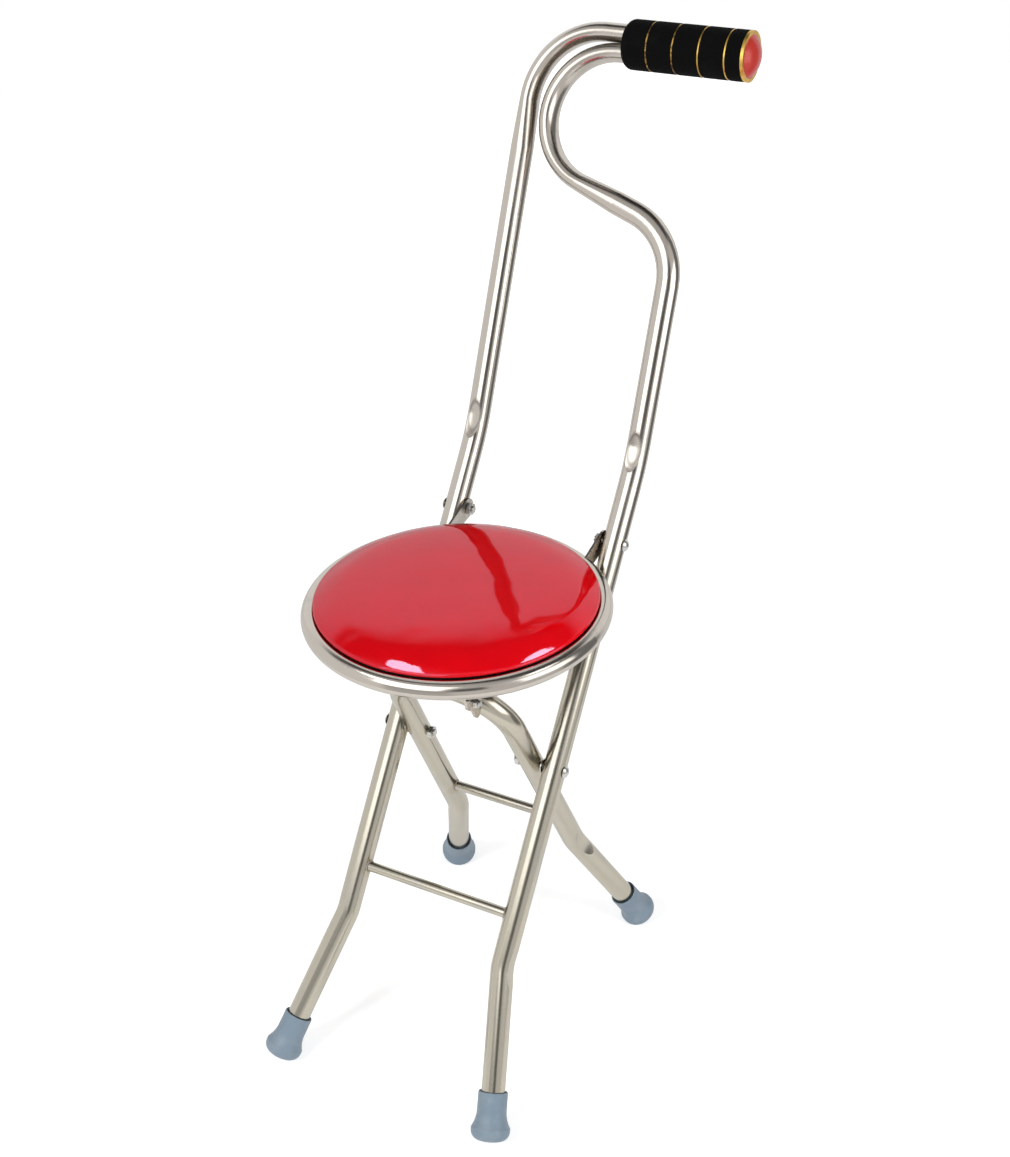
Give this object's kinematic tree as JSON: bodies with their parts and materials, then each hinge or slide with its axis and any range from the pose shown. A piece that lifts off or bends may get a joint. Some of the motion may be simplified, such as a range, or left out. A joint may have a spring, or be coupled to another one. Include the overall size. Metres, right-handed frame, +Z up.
{
  "type": "folding cane seat",
  "caption": "Walking cane of bent steel tube that opens into a stool, with a round padded seat, crossed legs, rubber feet and a foam grip on a swan-neck handle.",
  "frame": {"origin": "on the floor, at the middle of the object's footprint box", "axes": "+Z up, +X to the right as one sits on it, +Y to the back, where the handle is"},
  "size_m": [0.254, 0.5126, 0.8051],
  "materials": {
    "polished_steel": "polished",
    "zinc_steel": "bright zinc",
    "red_vinyl": "gloss",
    "board": "black painted",
    "grey_rubber": "satin",
    "black_foam": "matte foam",
    "gold_trim": "metallised",
    "red_plastic": "gloss"
  },
  "bodies": {
    "main_frame": {"left_frame_tube": "polished_steel", "right_frame_tube": "polished_steel", "front_crossbar": "polished_steel", "handle_grip": "black_foam", "grip_gold_rings": "gold_trim", "grip_end_ring": "gold_trim", "grip_end_cap": "red_plastic", "front_left_foot": "grey_rubber", "front_right_foot": "grey_rubber", "seat_pivot_bolts": "zinc_steel", "seat_pivot_nuts": "zinc_steel", "leg_pivot_bolts": "zinc_steel", "leg_pivot_nuts": "zinc_steel", "leg_pivot_washers": "zinc_steel"},
    "rear_legs": {"rear_leg_frame": "polished_steel", "rear_crossbar": "polished_steel", "rear_left_foot": "grey_rubber", "rear_right_foot": "grey_rubber"},
    "seat": {"seat_ring": "polished_steel", "seat_ear_left": "polished_steel", "seat_ear_right": "polished_steel", "seat_tabs": "polished_steel", "catch_bracket": "polished_steel", "catch_hook_left": "polished_steel", "catch_hook_right": "polished_steel", "catch_bolts": "zinc_steel", "catch_nuts": "zinc_steel", "seat_screws": "zinc_steel", "seat_board": "board", "seat_cushion": "red_vinyl"}
  },
  "joints": [
    {"name": "seat_fold", "type": "hinge", "parent": "main_frame", "child": "seat", "pos_m": [0, 0.05644, 0.416], "axis": [-1, 0, 0], "range_deg": [0, 106]},
    {"name": "legs_fold", "type": "hinge", "parent": "main_frame", "child": "rear_legs", "pos_m": [0, -0.06105, 0.25663], "axis": [-1, 0, 0], "range_deg": [0, 55]}
  ],
  "couplings": [
    {"joint": "legs_fold", "follows": "seat_fold", "ratio": 0.5188}
  ]
}
